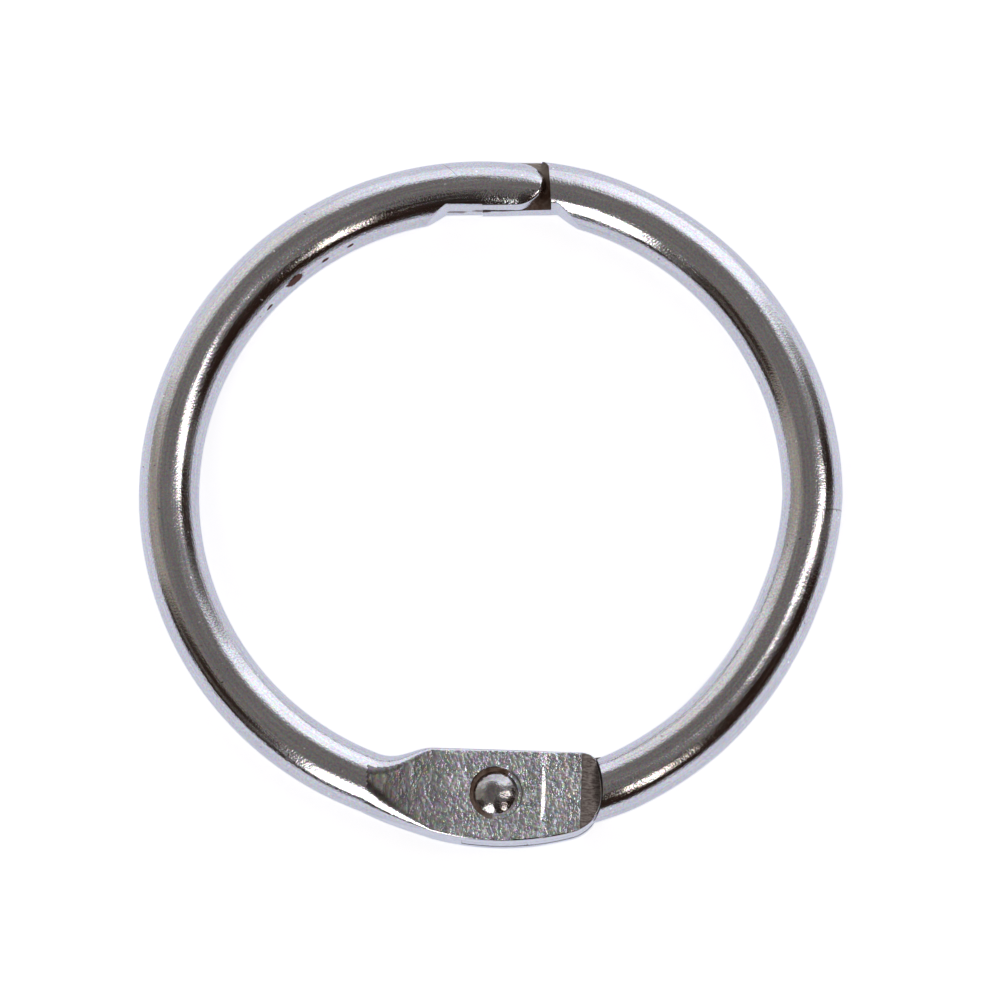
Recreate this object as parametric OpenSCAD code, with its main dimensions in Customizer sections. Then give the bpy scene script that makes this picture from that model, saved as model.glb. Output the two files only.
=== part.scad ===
// Hinged ring of round wire in two halves. A forked cheek on one half holds the flat tongue of
// the other on a rivet, and the far ends meet in a half lap that snaps on a small pip.
// The ring lies flat on Z = 0. X and Y are centred on it, and the hinge is at its -Y side.

/* [Ring] */
// Diameter of the wire that both halves are bent from
wire_d = 3.3; // [3.1:0.05:3.6]
// Bend radius of each half, to the middle of the wire
ring_r = 17.05; // [14:0.05:24]
// Distance of each half's bend centre to its own side of the ring
half_spread = 0.5; // [0.2:0.05:0.7]

/* [Fork] */
// Thickness over both ears
fork_t = 2.4; // [2.2:0.05:2.8]
// Reach of the cheek from the rivet to the inside of the ring
fork_in = 2.42; // [2.4:0.02:2.7]
// Reach of the cheek from the rivet to the outside of the ring
fork_out = 2.65; // [2.5:0.05:2.9]
// Radius of the swollen outer edge
fork_edge_r = 14.6; // [12:0.2:18]
// Reach of the ears past the rivet
ear_reach = 5.75; // [5.4:0.05:6.2]
// Distance behind the rivet where the cheek is full width
cheek_back = 3.5; // [3.3:0.1:4]
// Distance behind the rivet where the round wire starts to flare
flare_back = 6.9; // [6:0.1:8]
// Rise of the rivet from the middle of the wire towards the ring's middle
pivot_rise = 0.33; // [0.2:0.01:0.45]
// Distance of the rivet beside the ring's middle
pivot_x = 0.28; // [0:0.02:0.5]
// Turn of the cheek about the rivet
fork_tilt = -2; // [-4:0.5:0]
// Break along the cheek's edges
fork_break = 0.22; // [0.1:0.02:0.3]
// Corner radius of the ears on the inside of the ring
ear_corner_in = 1.2; // [0.8:0.1:1.4]
// Corner radius of the ears on the outside of the ring
ear_corner_out = 1.6; // [1:0.1:2]
// Distance past the rivet of the pressed step across the ears
step_x = 2.5; // [2.2:0.1:3]
// Depth of the pressed step
step_depth = 0.08; // [0.04:0.01:0.12]
// Length of the sloped nose of the ears
nose_len = 1.15; // [0.8:0.05:1.4]
// Drop of the sloped nose
nose_drop = 0.22; // [0.1:0.02:0.26]

/* [Tongue] */
// Thickness of the tongue
tongue_t = 1; // [0.8:0.05:1.1]
// Distance of the tongue's edges inside the edges of the ears
tongue_inset = 0.06; // [0.04:0.01:0.15]
// Radius of the tongue's round end
tongue_end_r = 3.05; // [2.8:0.05:3.2]
// Angle below the rivet's level at which the tongue's outer edge leaves that round end
tongue_heel = 50; // [44:1:54]
// Half width of the tongue where it leaves the wire
tongue_neck_r = 1.5; // [1.2:0.05:1.55]
// Free gap on each face of the tongue
slot_gap = 0.05; // [0.03:0.01:0.08]
// Free gap round the tongue's end at the bottom of the slot
slot_end_gap = 0.05; // [0.03:0.01:0.1]
// Gap between the tip of the ears and the round wire
ear_gap = 0.1; // [0.06:0.01:0.2]

/* [Rivet] */
// Diameter of the shank
rivet_d = 2; // [1.8:0.05:2.2]
// Diameter of each domed head
head_d = 2.46; // [2.4:0.02:2.6]
// Height of each dome
head_h = 0.45; // [0.3:0.05:0.5]
// Diameter of the sunk seat round each head
seat_d = 2.86; // [2.76:0.02:3]
// Depth of the seat
seat_depth = 0.25; // [0.15:0.01:0.3]
// Running gap between the tongue and the shank, all round
pin_gap = 0.05; // [0.03:0.01:0.08]

/* [Closure] */
// Reach of the upper lap's round tip past the ring's middle
upper_reach = 2.83; // [2.4:0.05:3.2]
// Gap between that tip and the shoulder it faces
tip_gap = 0.32; // [0.25:0.01:0.4]
// Reach of the lower lap past the ring's middle, on the forked half's side
lower_reach = 0.35; // [0.2:0.05:0.6]
// Gap between the lower lap and the shoulder it faces
root_gap = 0.12; // [0.08:0.01:0.2]
// Gap between the two lap faces
lap_gap = 0.08; // [0.05:0.01:0.12]
// Length of the tapered run-out beyond the lower shoulder
runout_len = 1.9; // [1.2:0.1:2.4]
// Height of the run-out where it meets the shoulder
runout_h = 0.34; // [0.1:0.02:0.4]
// Depth pressed off the inside of the wire along the lap
press_depth = 0.57; // [0.4:0.01:0.62]
// Middle of that pressed flat, beside the ring's middle
press_mid = 0.48; // [0.3:0.02:0.6]
// Half length of the pressed flat
press_half = 2.87; // [2.6:0.01:3]
// Length of the ramp at each end of the flat
press_ramp = 1.7; // [1.5:0.1:1.9]
// Fall of each ramp for each mm of its length
press_slope = 0.75; // [0.7:0.05:0.9]
// Radius of the snap pip
pip_r = 0.45; // [0.4:0.05:0.5]
// Height of the snap pip
pip_h = 0.16; // [0.12:0.01:0.2]
// Gap round the pip in its dimple
pip_gap = 0.05; // [0.03:0.01:0.08]
// Distance of the pip past the ring's middle
pip_x = 1.1; // [0.9:0.05:1.4]

/* [Hidden] */
$fn = 96;
HULL_FN = 32;
EPS = 0.01;

wire_r = wire_d / 2;
// Height of the bend centres over the ring's middle, which centres the whole ring on Y = 0
bend_y = (fork_out - pivot_rise - wire_r) / 2;
pivot_y = bend_y - ring_r + pivot_rise;
slot_t = tongue_t + 2 * slot_gap;
ear_swing_r = ear_reach + ear_gap;
big = 4 * wire_d;

// Middle of the wire at a given angle round one half, where side is -1 on the left and 1 on the right
function bend_centre(side) = [side * half_spread, bend_y];
function on_wire(side, a) = bend_centre(side) + ring_r * [cos(a), sin(a)];
// Angle of the top point of a half that lies at a given x
function top_angle(side, x) = acos((x - side * half_spread) / ring_r);

tip_x = upper_reach - wire_r;
tip_angle = top_angle(-1, tip_x);
flare_angle = 360 - top_angle(-1, pivot_x - flare_back);
shoulder_x = upper_reach + tip_gap;
root_x = -lower_reach - root_gap;
lower_angle = top_angle(1, -lower_reach);
inner_y = bend_y + ring_r - wire_r;

// Round wire bent from angle a to angle b about one half's centre
module bent_wire(side, a, b) {
    translate([bend_centre(side)[0], bend_centre(side)[1], 0])
        rotate([0, 0, a])
            rotate_extrude(angle = b - a)
                translate([ring_r, 0])
                    circle(r = wire_r);
}

// Place of the cheek's outer edge at a distance x along it from the rivet
function cheek_edge_y(x) = fork_edge_r - fork_out - sqrt(pow(fork_edge_r, 2) - pow(x, 2));

// Half ball on the end of the forked half's wire, sunk a hair into it
module round_tip() {
    tip = on_wire(-1, tip_angle);
    translate([tip[0], tip[1], 0])
        rotate([90, 0, tip_angle])
            translate([0, 0, -EPS])
                rotate_extrude()
                    intersection() {
                        circle(r = wire_r - EPS);
                        square(wire_r);
                    }
}

// Plan of the cheek, with the rivet at its origin and the ears towards +X
module cheek_plan() {
    corner_out_x = ear_reach - ear_corner_out;
    corner_out_y = fork_edge_r - fork_out
        - sqrt(pow(fork_edge_r - ear_corner_out, 2) - pow(corner_out_x, 2));
    intersection() {
        circle(r = ear_reach, $fn = 6 * HULL_FN);
        hull() {
            translate([corner_out_x, corner_out_y])
                circle(r = ear_corner_out, $fn = HULL_FN);
            translate([ear_reach - ear_corner_in, fork_in - ear_corner_in])
                circle(r = ear_corner_in, $fn = HULL_FN);
            intersection() {
                translate([0, fork_edge_r - fork_out])
                    circle(r = fork_edge_r, $fn = 6 * HULL_FN);
                translate([-cheek_back, -fork_out])
                    square([cheek_back + corner_out_x, fork_out + fork_in]);
            }
        }
    }
}

// Both ears and the web in one plate, with its long edges broken
module cheek_plate() {
    hull() {
        linear_extrude(fork_t - 2 * fork_break, center = true)
            cheek_plan();
        linear_extrude(fork_t, center = true)
            intersection() {
                offset(delta = -fork_break)
                    cheek_plan_long();
                cheek_plan();
            }
    }
}

// The cheek's plan carried on behind its back edge, so that only its long edges are broken
module cheek_plan_long() {
    hull() {
        cheek_plan();
        translate([-fork_break, 0])
            cheek_plan();
    }
}

// The wire flattening and widening into the cheek
module flare() {
    flare_start = on_wire(-1, flare_angle);
    hull() {
        at_rivet()
            translate([EPS - cheek_back, 0, 0])
                cheek_section(EPS);
        translate([flare_start[0], flare_start[1], 0])
            rotate([90, 0, flare_angle])
                cylinder(r = wire_r - EPS, h = 2 * EPS, center = true, $fn = 2 * HULL_FN);
    }
}

// Thin slice across the back of the cheek, a little smaller all round by inset
module cheek_section(inset) {
    outside_y = cheek_edge_y(cheek_back) + inset;
    inside_y = fork_in - inset;
    translate([0, (inside_y + outside_y) / 2, 0]) {
        cube([EPS, inside_y - outside_y, fork_t - 2 * fork_break], center = true);
        cube([EPS, inside_y - outside_y - 2 * fork_break, fork_t - 2 * inset], center = true);
    }
}

// Moves its children to the rivet, turned as the cheek is
module at_rivet() {
    translate([pivot_x, pivot_y, 0])
        rotate([0, 0, fork_tilt])
            children();
}

// Step pressed across the ears and the slope down to their nose, cut from the upper face
module nose_cut() {
    nose_x = ear_reach - nose_len;
    top = fork_t / 2;
    floor_z = top - step_depth;
    rotate([90, 0, 0])
        linear_extrude(big, center = true)
            polygon([
                [step_x, top + EPS],
                [step_x + step_depth, floor_z],
                [nose_x, floor_z],
                [ear_reach + EPS, floor_z - nose_drop],
                [ear_reach + EPS, top + EPS]
            ]);
}

// Flat pressed along the inside of the wire where the halves lap
module press_cut() {
    flat_y = inner_y + press_depth;
    ramp_y = flat_y - press_slope * press_ramp;
    reach = press_half + press_ramp;
    linear_extrude(big, center = true)
        polygon([
            [press_mid - reach, flat_y - wire_d],
            [press_mid - reach, ramp_y],
            [press_mid - press_half, flat_y],
            [press_mid + press_half, flat_y],
            [press_mid + reach, ramp_y],
            [press_mid + reach, flat_y - wire_d]
        ]);
}

// Tapered run-out of the cutter that made the lower shoulder
module runout() {
    translate([0, bend_y + ring_r, 0])
        rotate([90, 0, 0])
            linear_extrude(big, center = true)
                polygon([
                    [root_x + EPS, lap_gap / 2],
                    [root_x + EPS, -runout_h],
                    [root_x - runout_len, -lap_gap / 2],
                    [root_x - runout_len, lap_gap / 2]
                ]);
}

// Ball that makes the snap pip, and with a gap its dimple
module pip_ball(gap) {
    ball_r = (pow(pip_r, 2) + pow(pip_h, 2)) / (2 * pip_h);
    translate([pip_x, bend_y + ring_r, ball_r - pip_h - lap_gap / 2])
        sphere(r = ball_r + gap);
}

// Left half: round tip and upper lap, bent wire, then the slotted cheek that carries the rivet
module fork_half() {
    color("silver")
        translate([0, 0, wire_r]) {
            difference() {
                union() {
                    bent_wire(-1, tip_angle, flare_angle);
                    round_tip();
                    flare();
                    at_rivet()
                        cheek_plate();
                }
                // The lower half of the wire is cut away along the lap
                translate([root_x, bend_y + ring_r - big / 2, lap_gap / 2 - big])
                    cube([big, big, big]);
                runout();
                press_cut();
                at_rivet() {
                    slot();
                    cylinder(r = rivet_d / 2, h = big, center = true);
                    for (face = [0, 1])
                        mirror([0, 0, face]) {
                            translate([0, 0, fork_t / 2 - seat_depth])
                                cylinder(r = seat_d / 2, h = big);
                            nose_cut();
                        }
                }
            }
            snap_pip();
        }
}

// Slot for the tongue, round at its bottom and open to the nose
module slot() {
    slot_end_r = tongue_end_r + slot_end_gap;
    cylinder(r = slot_end_r, h = slot_t, center = true);
    translate([big / 2, 0, 0])
        cube([big, 2 * slot_end_r, slot_t], center = true);
}

// The pip itself, standing from the upper lap's face
module snap_pip() {
    intersection() {
        pip_ball(0);
        translate([pip_x, bend_y + ring_r, lap_gap / 2 + EPS - wire_r / 2])
            cube([wire_d, wire_d, wire_r], center = true);
    }
}

// Plan of the tongue, which fills the slot out to the ears' edges and runs on inside the wire
module tongue_plan() {
    neck_angle = -acos((pivot_x + ear_reach - half_spread) / ring_r);
    at_rivet()
        intersection() {
            offset(delta = -tongue_inset)
                cheek_plan();
            union() {
                circle(r = tongue_end_r);
                polygon([
                    [0, 0],
                    big * [cos(tongue_heel), -sin(tongue_heel)],
                    [big, big],
                    [0, big]
                ]);
            }
        }
    hull() {
        translate([pivot_x, pivot_y])
            circle(r = tongue_neck_r, $fn = HULL_FN);
        translate(on_wire(1, neck_angle))
            circle(r = tongue_neck_r, $fn = HULL_FN);
    }
}

// Right half: lower lap, bent wire, then the flat tongue that turns on the rivet
module tongue_half() {
    tongue_angle = -acos((pivot_x - half_spread) / ring_r);
    color("lightsteelblue")
        translate([0, 0, wire_r])
            difference() {
                union() {
                    difference() {
                        bent_wire(1, tongue_angle, lower_angle);
                        // The round wire stops where the ears swing past it
                        translate([pivot_x, pivot_y, 0])
                            cylinder(r = ear_swing_r, h = big, center = true);
                    }
                    linear_extrude(tongue_t, center = true)
                        tongue_plan();
                }
                // The upper half of the wire is cut away along the lap
                translate([shoulder_x - big, bend_y + ring_r - big / 2, -lap_gap / 2])
                    cube([big, big, big]);
                press_cut();
                pip_ball(pip_gap);
                translate([pivot_x, pivot_y, 0])
                    cylinder(r = rivet_d / 2 + pin_gap, h = big, center = true);
            }
}

// Rivet through both ears and the tongue, headed over at each end
module rivet() {
    head_z = fork_t / 2 - seat_depth;
    head_r = head_d / 2;
    dome_r = (pow(head_r, 2) + pow(head_h, 2)) / (2 * head_h);
    color("gainsboro")
        translate([pivot_x, pivot_y, wire_r])
            rotate_extrude() {
                translate([0, -head_z])
                    square([rivet_d / 2, 2 * head_z]);
                for (face = [0, 1])
                    mirror([0, face])
                        intersection() {
                            translate([0, head_z + head_h - dome_r])
                                circle(r = dome_r);
                            translate([0, head_z])
                                square([dome_r, head_h]);
                        }
            }
}

fork_half();
tongue_half();
rivet();
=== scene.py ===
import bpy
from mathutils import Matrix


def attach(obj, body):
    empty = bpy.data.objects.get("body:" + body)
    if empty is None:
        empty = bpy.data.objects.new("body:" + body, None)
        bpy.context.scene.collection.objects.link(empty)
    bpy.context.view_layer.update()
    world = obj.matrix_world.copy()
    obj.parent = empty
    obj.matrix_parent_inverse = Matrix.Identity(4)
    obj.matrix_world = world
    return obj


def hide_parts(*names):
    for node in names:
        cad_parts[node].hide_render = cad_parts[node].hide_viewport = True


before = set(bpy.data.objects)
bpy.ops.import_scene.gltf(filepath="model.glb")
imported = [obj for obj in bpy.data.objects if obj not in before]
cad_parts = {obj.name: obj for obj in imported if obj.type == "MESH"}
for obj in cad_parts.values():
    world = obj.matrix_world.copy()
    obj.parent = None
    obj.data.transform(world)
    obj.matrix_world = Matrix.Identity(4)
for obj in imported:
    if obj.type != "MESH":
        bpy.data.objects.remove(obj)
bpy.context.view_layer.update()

# %% [markdown]
# # A hinged ring of nickel-plated wire
# The real thing is two halves of round steel wire. One half ends in a flattened, slotted cheek,
# the other in a flat tongue that turns on a rivet inside it. The far ends snap together in a
# half lap. A torus with boxes cut from it would be quick, but a press moves metal smoothly from
# round to flat, so each half is lofted from many cross-sections. Everything below is in
# millimetres and is made metres only when a mesh is written.

# %% Sizes of the ring, in millimetres
import math

import bmesh
import bpy
import numpy as np
from mathutils import Vector

MM = 0.001
WIRE_R = 1.648
RING_R = 17.05                        # bend of the wire's middle line
BEND_X = 0.5                          # the two bends are centred this far left and right
BEND_Y = 0.335
MID_Z = 1.65                          # the wire lies on the floor
PIVOT = np.array([0.28, -16.385])     # the rivet
TILT = math.radians(-2)               # the cheek leans this far from level
print("wire", 2 * WIRE_R, "mm, ring", 2 * (RING_R + WIRE_R + BEND_X), "mm wide")

# %% [markdown]
# ## Sections
# A bent wire is a row of cross-sections. A circle swept along a curve would do for plain wire,
# but here the circle turns into a lap, a pressed flat and a cheek. So each section is written by
# the direction its surface faces. A round one then blends into a flattened one the way metal
# moves in a press: the round shoulders get tighter while the flats between them grow.

# %% Round and cut sections
STEPS = 720                           # facing directions round a section
FACING = (np.arange(STEPS) + 0.5) / STEPS * 2 * np.pi
NORMAL = np.stack([np.cos(FACING), np.sin(FACING)], 1)
TINY = 1e-6


def round_section(r):
    """Plain round wire."""
    return r * NORMAL


def cut_section(r, flats, edge):
    """Round wire of radius r with flats, each (direction, distance), and its new edges eased by edge."""
    core = r - edge
    lines = [(np.array(d, float), dist - edge) for d, dist in flats]
    corners = []
    for d, dist in lines:
        if abs(dist) < core:
            along = math.sqrt(core * core - dist * dist)
            corners += [dist * d + s * along * np.array([-d[1], d[0]]) for s in (-1, 1)]
    for i, (d, p) in enumerate(lines):
        for e, q in lines[i + 1:]:
            det = d[0] * e[1] - d[1] * e[0]
            if abs(det) > TINY:
                corners.append(np.array([p * e[1] - q * d[1], d[0] * q - e[0] * p]) / det)
    corners = [c for c in corners if np.hypot(*c) <= core + TINY
               and all(c @ d <= dist + TINY for d, dist in lines)]
    place = core * NORMAL
    outside = np.zeros(STEPS, bool)
    for d, dist in lines:
        outside |= place @ d > dist
    if corners:
        corners = np.array(corners)
        place[outside] = corners[np.argmax(NORMAL[outside] @ corners.T, 1)]
    return place + edge * NORMAL


print("a section is worked out in", STEPS, "directions")


# %% Pressed sections, and the points kept
ROUND = 128                           # points that a section keeps in the mesh


def pressed_section(out, inn, half, ease_out, ease_in):
    """Flat cheek reaching out and inn from its line, half thick each way, with eased edges."""
    outward = NORMAL[:, 0] > 0
    ease = np.where(outward, ease_out, ease_in)
    u = np.where(outward, out - ease_out, -inn + ease_in)
    w = np.where(NORMAL[:, 1] > 0, half - ease, ease - half)
    return np.stack([u, w], 1) + ease[:, None] * NORMAL


def spaced(section, pull=0.2):
    """The points kept round a section, a little closer together where it turns sharply."""
    quarter, made = STEPS // 4, []
    ends = [(section[q * quarter - 1] + section[q * quarter]) / 2 for q in range(4)]
    for q in range(4):
        line = np.vstack([ends[q], section[q * quarter:(q + 1) * quarter], ends[(q + 1) % 4]])
        run = np.r_[0, np.cumsum(np.hypot(*np.diff(line, axis=0).T))]
        turn = np.r_[0, np.arange(quarter) + 0.5, quarter] / quarter
        mark = (1 - pull) * run / run[-1] + pull * turn
        at = np.arange(ROUND // 4) / (ROUND // 4)
        made.append(np.stack([np.interp(at, mark, line[:, k]) for k in (0, 1)], 1))
    return np.vstack(made)


plain = spaced(round_section(WIRE_R))
print("a section keeps", len(plain), "points")

# %% [markdown]
# ## From sections to a mesh
# Neighbouring sections are joined by quads. A loft could be closed with one many-sided face, but
# that shades badly on a domed end. A grid stretched between the four sides of the last ring
# keeps a flat or curved end even.

# %% Joining sections
class Skin:
    """Points and faces of one loft, which grows ring by ring."""

    def __init__(self):
        self.points, self.faces, self.count, self.last = [], [], 0, None

    def add(self, points):
        first = self.count
        self.points.append(np.asarray(points, float))
        self.count += len(points)
        return np.arange(first, self.count)

    def join(self, a, b):
        self.faces += [tuple(f) for f in np.stack([a, np.roll(a, -1), np.roll(b, -1), b], 1)]

    def grow(self, points):
        """One more ring, joined to the ring before it."""
        ring = self.add(points)
        if self.last is not None:
            self.join(ring, self.last)
        self.last = ring
        return ring

    def close(self, ring, points, side):
        """Fills a ring with a grid whose side columns are the 2*side+1 points round facing 0 and 180."""
        n = len(ring)
        top = [ring[k] for k in range(side, n // 2 - side + 1)]
        low = [ring[-k] for k in range(side, n // 2 - side + 1)]
        cols, rows = len(top), 2 * side + 1
        right = [ring[side - k] for k in range(rows)]
        left = [ring[n // 2 - side + k] for k in range(rows)]
        grid = np.zeros((rows, cols), int)
        grid[0], grid[-1], grid[:, 0], grid[:, -1] = top, low, right, left
        spot = dict(zip(ring, points))
        T, B, L, R = (np.array([spot[i] for i in ids]) for ids in (top, low, right, left))
        v, u = np.meshgrid(np.arange(rows) / (rows - 1), np.arange(cols) / (cols - 1), indexing="ij")
        u, v = u[..., None], v[..., None]
        corners = ((1 - u) * (1 - v) * T[0] + u * (1 - v) * T[-1]
                   + (1 - u) * v * B[0] + u * v * B[-1])
        fill = (1 - v) * T[None] + v * B[None] + (1 - u) * L[:, None] + u * R[:, None] - corners
        inner = self.add(fill[1:-1, 1:-1].reshape(-1, 3))
        grid[1:-1, 1:-1] = inner.reshape(rows - 2, cols - 2)
        self.faces += [(grid[i, j], grid[i + 1, j], grid[i + 1, j + 1], grid[i, j + 1])
                       for i in range(rows - 1) for j in range(cols - 1)]

    def mesh(self, name):
        me = bpy.data.meshes.new(name)
        me.from_pydata((np.vstack(self.points) * MM).tolist(), [],
                       [tuple(map(int, f)) for f in self.faces])
        bm = bmesh.new()
        bm.from_mesh(me)
        bmesh.ops.recalc_face_normals(bm, faces=bm.faces)
        bm.to_mesh(me)
        bm.free()
        o = bpy.data.objects.new(name, me)
        bpy.context.scene.collection.objects.link(o)
        print(name, "as lofted:", len(me.polygons), "faces")
        return o


print("rings are joined by", ROUND, "quads each")

# %% [markdown]
# ## Sections on the bend
# The wire was closed round a former by hand, so it wanders a little from a true circle. A true
# circle would mirror the lights too evenly. A short table of how far the bend has drifted at
# each angle is easy to read and to change, and a section is set on the bend by its angle.

# %% The hand-closed bend
DRIFT_AT = [-80, -68, -60, -50, -40, -30, -20, -10, 0, 10, 30, 50, 65, 75, 81, 86, 89]
DRIFT = [0.16, 0.15, 0.05, -0.04, -0.17, -0.26, -0.26, -0.14, 0.0, 0.0, 0.0, 0.06, 0.11, 0.15,
         0.12, 0.04, 0.0]


def drift(side, angle):
    """How far the tongued half wanders outwards at an angle. side is 1 for it, -1 for the forked half."""
    return float(np.interp(math.degrees(angle), DRIFT_AT, DRIFT)) if side > 0 else 0.0


def angle_at(side, x):
    """Angle round one half's upper bend where its middle line passes x."""
    return math.acos((x - side * BEND_X) / RING_R)


def on_wire(side, angle, section, tilt=0.0):
    """A section of one half at an angle round its bend. tilt leans the section's plane."""
    a = angle + tilt
    out = np.zeros((len(section), 3))
    r = RING_R + drift(side, angle) + section[:, 0]
    out[:, 0] = side * BEND_X + r * np.cos(a)
    out[:, 1] = BEND_Y + r * np.sin(a)
    out[:, 2] = MID_Z + section[:, 1]
    return out


def lean_to(side, angle, section, x_of_u):
    """How far each point's angle moves so that the section's plane passes through x_of_u."""
    r = RING_R + drift(side, angle) + section[:, 0]
    return np.arccos((x_of_u - side * BEND_X) / r) - angle


print("the bend wanders by up to", max(map(abs, DRIFT)), "mm")

# %% [markdown]
# ## The closure
# At the far ends each half keeps only half of its round wire for a few millimetres. The upper
# lap has a ball-round tip, the lower one is sheared square, and the inside of both was pressed
# flat. The laps could be cut with boxes afterwards. Writing them as sections with flats leaves
# clean quads that follow the wire, which is what makes a reflection run straight across them.

# %% Sizes of the closure
LAP = 0.02                            # each lap stops this far from the wire's mid height
LAP_EDGE, PRESS_EDGE = 0.07, 0.25     # how far the edges of laps and pressed flats are eased
TIP_X = 1.18                          # where the tip's rounding is over
TIP_REACH, TIP_U = 2.92, 0.48         # the tip's foremost point, and how far out it lies
TIP_OUT, TIP_IN, TIP_TOP = 1.35, 1.4, 0.26    # lengths of its rounding outside, inside and on top
ROOT_X, LOWER_X = -0.47, -0.463       # root of the upper lap, and end of the lower one
SHOULDER_X, SHOULDER_LEAN = 3.25, 0.1
PRESS_Y = {-1: 16.3, 1: 16.25}        # the pressed flat on each half
PRESS_MID, PRESS_HALF = 0.48, 2.87
PRESS_SLOPE, PRESS_END = 0.75, 1.6    # its ramps: slope and length
LOWER_ANGLE = angle_at(1, LOWER_X)


def press_flats(side, angle):
    """The flat pressed on the inside of the closure, as cut_section wants it."""
    x = side * BEND_X + (RING_R - WIRE_R) * math.cos(angle)
    past = max(0.0, abs(x - PRESS_MID) - PRESS_HALF)
    y = PRESS_Y[side] - PRESS_SLOPE * past
    reach = RING_R - (y - BEND_Y) / math.sin(angle)
    return [((-1, 0), reach)] if reach < WIRE_R and past < PRESS_END else []


def lap_section(side, angle, upper):
    """Upper or lower half of the wire, with the pressed flat where it reaches."""
    halved = ((0, -1), -LAP) if upper else ((0, 1), -LAP)
    return spaced(cut_section(WIRE_R, press_flats(side, angle) + [halved], LAP_EDGE))


def wire_section(side, angle):
    """Whole wire, with the pressed flat where it reaches."""
    flats = press_flats(side, angle)
    return spaced(cut_section(WIRE_R, flats, PRESS_EDGE)) if flats else plain


print("the lower lap ends", round(math.degrees(LOWER_ANGLE), 2), "degrees round its bend")

# %% [markdown]
# ## The forked half
# The wire runs from its round tip over the lap and round the left side. Before the rivet it was
# pressed flat and wide, and the flats start at a point on the crest of the wire. A box with
# bevels could stand for the cheek, but its flats would then start at a line. Here the corners of
# the section open out of the circle, and the point comes by itself.

# %% The cheek's outline, seen from above, with the rivet at 0, 0
FORK_HALF = 1.2                       # half the cheek's thickness
FORK_IN, FORK_OUT, FORK_EDGE_R = 2.42, 2.65, 14.6
EAR_REACH, CHEEK_BACK, FLARE_BACK = 5.75, 3.5, 6.9
INNER_CORNER, OUTER_CORNER = (4.55, 1.22, 1.2), (3.55, 0.069, 2.2)    # x, y and radius


def arc(cx, cy, r, a0, a1, n):
    t = np.radians(np.linspace(a0, a1, n))
    return np.stack([cx + r * np.cos(t), cy + r * np.sin(t)], 1)


outline = np.vstack([
    np.stack([np.linspace(-CHEEK_BACK, INNER_CORNER[0], 400), np.full(400, FORK_IN)], 1),
    arc(*INNER_CORNER, 90, 48.5, 120)[1:],
    arc(0, 0, EAR_REACH, 21.6, 0.3, 160)[1:],
    arc(*OUTER_CORNER, -1.2, -73.4, 200),
    arc(0, FORK_EDGE_R - FORK_OUT, FORK_EDGE_R, -73.5, -103.9, 500)[1:],
])
outline_run = np.r_[0, np.cumsum(np.hypot(*np.diff(outline, axis=0).T))]
facing = np.gradient(outline, axis=0)
facing /= np.hypot(*facing.T)[:, None]
inward = np.stack([facing[:, 1], -facing[:, 0]], 1)
foremost = int(np.argmax(outline[:, 0]))
print("cheek outline is", round(outline_run[-1], 2), "mm round")


# %% Places on the cheek
def on_outline(run, inset=0.0):
    """Point at a distance along the outline, set in from it."""
    line = outline + inset * inward
    return np.stack([np.interp(run, outline_run, line[:, k]) for k in (0, 1)], -1)


def run_at(x, inner):
    """Distance along the outline where it passes x on its inner or outer side."""
    if inner:
        return np.interp(x, outline[:foremost + 1, 0], outline_run[:foremost + 1])
    return np.interp(-x, -outline[foremost:, 0], outline_run[foremost:])


def at_rivet(p):
    """Turns plan points of the cheek to where the rivet is."""
    c, s = math.cos(TILT), math.sin(TILT)
    return PIVOT + np.stack([c * p[..., 0] - s * p[..., 1], s * p[..., 0] + c * p[..., 1]], -1)


print("its nose comes to", at_rivet(outline[foremost]).round(2))

# %% Tip, lap and wire
fork = Skin()
TIP_ROWS = 1.7 * (1 - np.cos(np.linspace(0.04, math.pi / 2, 48)))    # closest at the point


def rounded(back, length):
    """Share of its full size that a round end has at a distance back from its point."""
    return math.sqrt(1 - (1 - min(back / length, 1)) ** 2)


for back in TIP_ROWS:
    a = angle_at(-1, TIP_REACH - back)
    section = lap_section(-1, a, True)
    sides = [section[:, 0].min(), section[:, 0].max()]
    drawn_in = [TIP_U + (u - TIP_U) * rounded(back, length)
                for u, length in zip(sides, (TIP_IN, TIP_OUT))]
    section = np.column_stack([np.interp(section[:, 0], sides, drawn_in),
                               LAP + (section[:, 1] - LAP) * rounded(back, TIP_TOP)])
    ring = fork.grow(on_wire(-1, a, section))
    if back == TIP_ROWS[0]:
        point = fork.add(on_wire(-1, a - 0.0001, np.array([[TIP_U, LAP + 0.001]])))[0]
        fork.faces += [(point, ring[k], ring[k - 1]) for k in range(ROUND)]
root_angle = angle_at(-1, ROOT_X)
for a in np.linspace(angle_at(-1, TIP_X), root_angle, 24)[1:]:
    fork.grow(on_wire(-1, a, lap_section(-1, a, True)))
for past in (0.002, 0.03):            # two rings close together keep the root's corner crisp
    fork.grow(on_wire(-1, root_angle + past / RING_R, wire_section(-1, root_angle)))
flare_angle = 2 * math.pi - angle_at(-1, PIVOT[0] - FLARE_BACK)
for a in np.linspace(root_angle + 0.1 / RING_R, flare_angle, 470):
    fork.grow(on_wire(-1, a, wire_section(-1, a)))
print("forked wire:", fork.count, "points")

# %% The flare, where the line of the wire swings on to the line of the cheek
EASE_OUT, EASE_IN, EASE_NOSE = 0.14, 0.24, 0.07    # how far the cheek's edges are eased

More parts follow.
